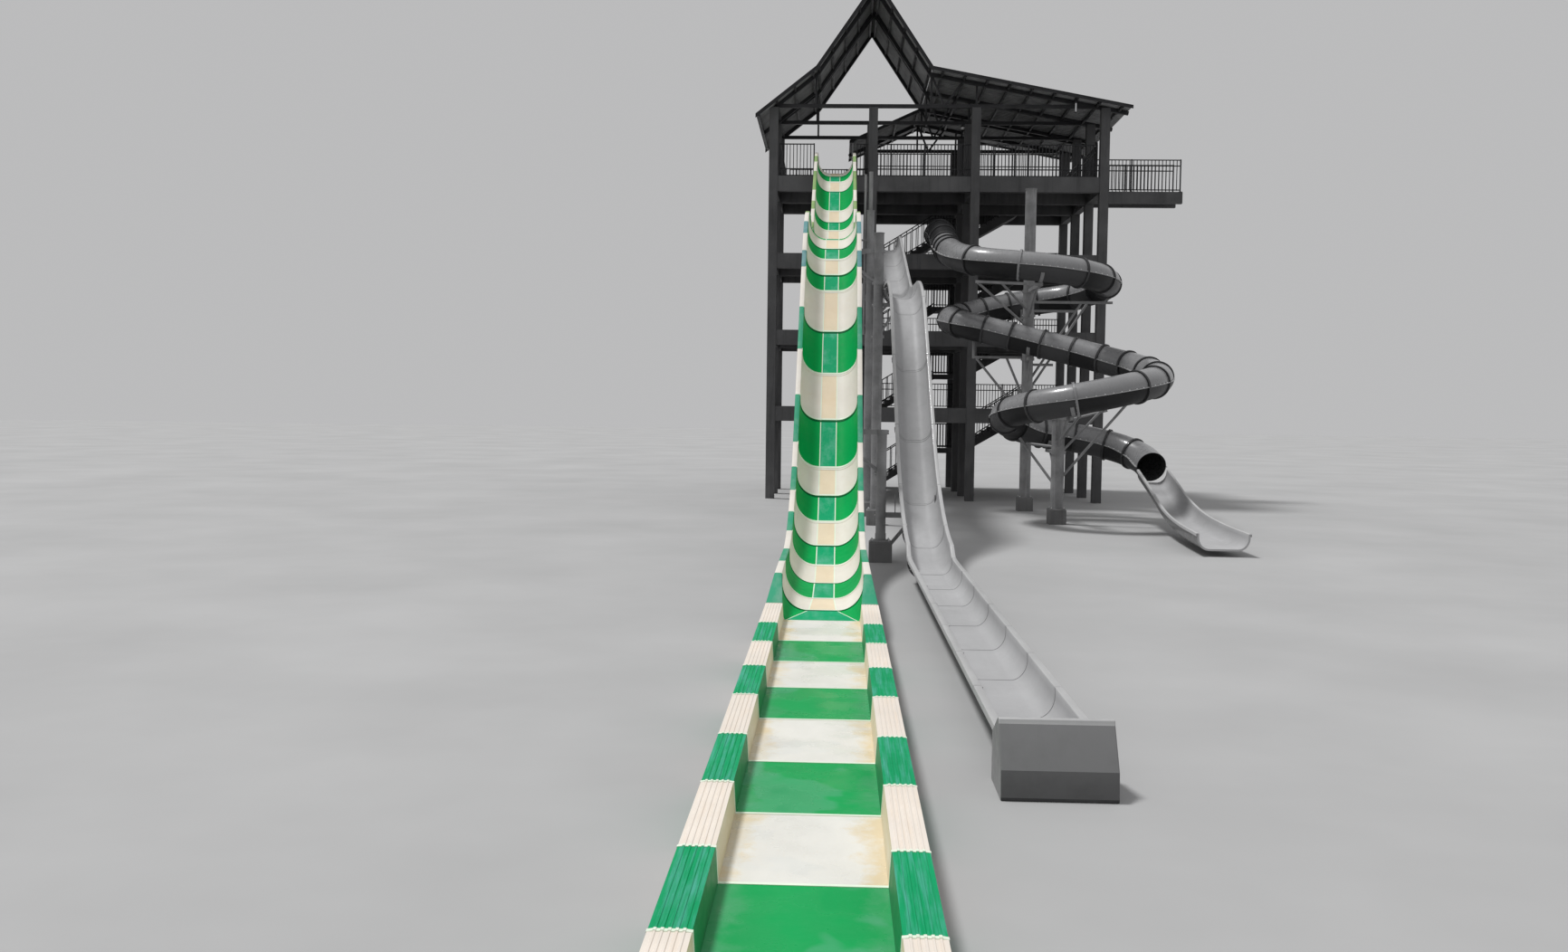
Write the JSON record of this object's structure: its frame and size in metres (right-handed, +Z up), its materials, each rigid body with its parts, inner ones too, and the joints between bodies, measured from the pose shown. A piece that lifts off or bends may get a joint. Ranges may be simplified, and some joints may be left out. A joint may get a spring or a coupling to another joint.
{
  "type": "water slide tower, 1:2 scale model",
  "caption": "Concrete tower with stacked decks under a steel roof, two open slides and one winding tube slide leaving its front, and a bridge at its side; a 1:2 scale model.",
  "frame": {"origin": "on level ground, under the middle of the box round the whole model", "axes": "+X to the right along the tower's front, +Y from the run-outs towards the back of the tower, +Z up"},
  "size_m": [8.865, 28.76, 10.2],
  "materials": {
    "concrete": "weathered matt",
    "roof_sheet": "matt",
    "dark_steel": "satin",
    "support_steel": "weathered satin",
    "green_gelcoat": "wet gloss",
    "white_gelcoat": "wet gloss",
    "light_grey_gelcoat": "gloss",
    "grey_gelcoat": "gloss"
  },
  "bodies": {
    "root": {"column_A1": "concrete", "column_A2": "concrete", "column_A3": "concrete", "column_B1": "concrete", "column_B2": "concrete", "column_B3": "concrete", "column_B4": "concrete", "column_C1": "concrete", "column_C2": "concrete", "column_C3": "concrete", "column_C4": "concrete", "column_D1": "concrete", "column_D2": "concrete", "column_D3": "concrete", "column_D4": "concrete", "deck_1": "concrete", "deck_2": "concrete", "deck_3": "concrete", "deck_4": "concrete", "stair_to_deck_1": "concrete", "stair_to_deck_2": "concrete", "stair_to_deck_3": "concrete", "stair_to_deck_4": "concrete", "bridge_deck": "concrete", "roof_left_wing": "roof_sheet", "roof_gable": "roof_sheet", "roof_right_wing": "roof_sheet", "roof_rear_slope": "roof_sheet", "roof_truss_1": "dark_steel", "roof_truss_2": "dark_steel", "roof_truss_3": "dark_steel", "roof_truss_4": "dark_steel", "guard_deck_front": "dark_steel", "guard_deck_left": "dark_steel", "guard_deck_step": "dark_steel", "guard_bridge_front": "dark_steel", "guard_bridge_rear": "dark_steel", "screen_deck_rear": "dark_steel", "main_slide_upper_drop": "green_gelcoat", "main_slide_steep_drop": "green_gelcoat", "main_slide_flare": "green_gelcoat", "main_slide_bench": "white_gelcoat", "main_slide_pull_out": "white_gelcoat", "run_out": "white_gelcoat", "run_out_end_wall": "white_gelcoat", "grey_slide_upper": "light_grey_gelcoat", "grey_slide_steep_drop": "light_grey_gelcoat", "grey_slide_run_out": "light_grey_gelcoat", "grey_slide_stop_block": "light_grey_gelcoat", "tube_entry_and_first_leg": "grey_gelcoat", "tube_right_turn_and_second_leg": "grey_gelcoat", "tube_left_turn_and_third_leg": "grey_gelcoat", "tube_lower_right_turn_and_fourth_leg": "grey_gelcoat", "tube_lower_left_turn_and_exit_leg": "grey_gelcoat", "tube_exit_chute": "grey_gelcoat", "support_open_slides_rear": "support_steel", "support_open_slides_front": "support_steel", "support_steep_part": "support_steel", "support_tube_rear": "support_steel", "support_tube_front": "support_steel"}
  },
  "joints": []
}
